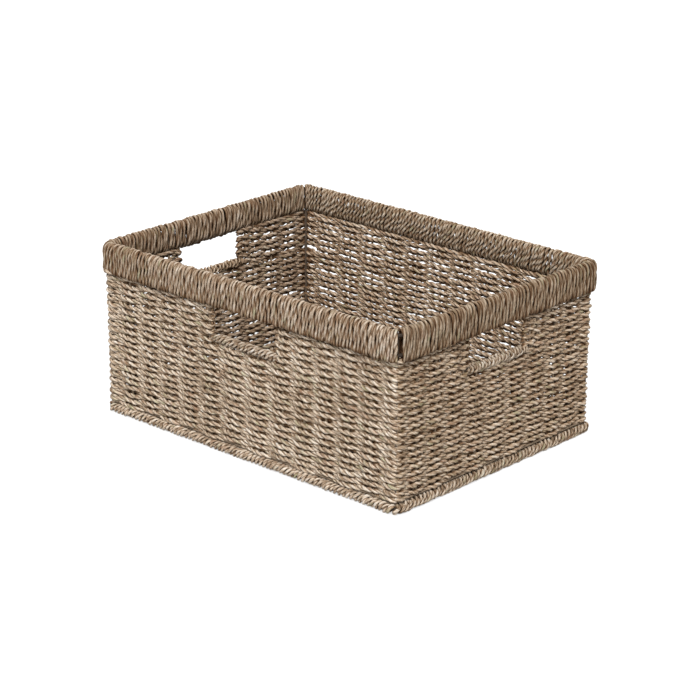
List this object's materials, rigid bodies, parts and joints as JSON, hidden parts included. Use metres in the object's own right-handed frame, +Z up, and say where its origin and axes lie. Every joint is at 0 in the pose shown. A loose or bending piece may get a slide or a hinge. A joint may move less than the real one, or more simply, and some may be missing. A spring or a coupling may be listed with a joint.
{
  "type": "woven storage basket",
  "caption": "Rectangular storage basket woven from twisted seagrass cord on a wire frame, with a wrapped rim and rectangular hand holes under the rim.",
  "frame": {"origin": "centre of the base, on the floor", "axes": "+X along the long side, +Y towards the side with no hand hole, +Z up"},
  "size_m": [0.442, 0.331, 0.2],
  "materials": {
    "front_weave": "dry twisted seagrass cord, matte",
    "right_weave": "dry twisted seagrass cord, matte",
    "back_weave": "dry twisted seagrass cord, matte",
    "left_weave": "dry twisted seagrass cord, matte",
    "base_weave": "dry twisted seagrass cord, matte",
    "front_rim_wrap": "dry twisted seagrass cord, matte",
    "right_rim_wrap": "dry twisted seagrass cord, matte",
    "back_rim_wrap": "dry twisted seagrass cord, matte",
    "left_rim_wrap": "dry twisted seagrass cord, matte",
    "front_base_wrap": "dry twisted seagrass cord, matte",
    "right_base_wrap": "dry twisted seagrass cord, matte",
    "back_base_wrap": "dry twisted seagrass cord, matte",
    "left_base_wrap": "dry twisted seagrass cord, matte",
    "front_rail_wrap": "dry twisted seagrass cord, matte",
    "right_rail_wrap": "dry twisted seagrass cord, matte",
    "left_rail_wrap": "dry twisted seagrass cord, matte",
    "upper_rim_hoop": "dark brown coated steel wire",
    "lower_rim_hoop": "dark brown coated steel wire",
    "base_hoop": "dark brown coated steel wire",
    "corner_post_front_left": "dark brown coated steel wire",
    "corner_post_front_right": "dark brown coated steel wire",
    "corner_post_back_left": "dark brown coated steel wire",
    "corner_post_back_right": "dark brown coated steel wire",
    "front_stakes": "tan coated steel wire",
    "right_stakes": "tan coated steel wire",
    "back_stakes": "tan coated steel wire",
    "left_stakes": "tan coated steel wire",
    "right_jamb_near": "tan coated steel wire",
    "right_jamb_far": "tan coated steel wire",
    "left_jamb_near": "tan coated steel wire",
    "left_jamb_far": "tan coated steel wire",
    "front_rail_wire": "dark brown coated steel wire",
    "right_rail_wire": "dark brown coated steel wire",
    "left_rail_wire": "dark brown coated steel wire",
    "base_grid": "dark brown coated steel wire"
  },
  "bodies": {
    "root": {"front_weave": "front_weave", "right_weave": "right_weave", "back_weave": "back_weave", "left_weave": "left_weave", "base_weave": "base_weave", "front_rim_wrap": "front_rim_wrap", "right_rim_wrap": "right_rim_wrap", "back_rim_wrap": "back_rim_wrap", "left_rim_wrap": "left_rim_wrap", "front_base_wrap": "front_base_wrap", "right_base_wrap": "right_base_wrap", "back_base_wrap": "back_base_wrap", "left_base_wrap": "left_base_wrap", "front_rail_wrap": "front_rail_wrap", "right_rail_wrap": "right_rail_wrap", "left_rail_wrap": "left_rail_wrap", "upper_rim_hoop": "upper_rim_hoop", "lower_rim_hoop": "lower_rim_hoop", "base_hoop": "base_hoop", "corner_post_front_left": "corner_post_front_left", "corner_post_front_right": "corner_post_front_right", "corner_post_back_left": "corner_post_back_left", "corner_post_back_right": "corner_post_back_right", "front_stakes": "front_stakes", "right_stakes": "right_stakes", "back_stakes": "back_stakes", "left_stakes": "left_stakes", "right_jamb_near": "right_jamb_near", "right_jamb_far": "right_jamb_far", "left_jamb_near": "left_jamb_near", "left_jamb_far": "left_jamb_far", "front_rail_wire": "front_rail_wire", "right_rail_wire": "right_rail_wire", "left_rail_wire": "left_rail_wire", "base_grid": "base_grid"}
  },
  "joints": []
}
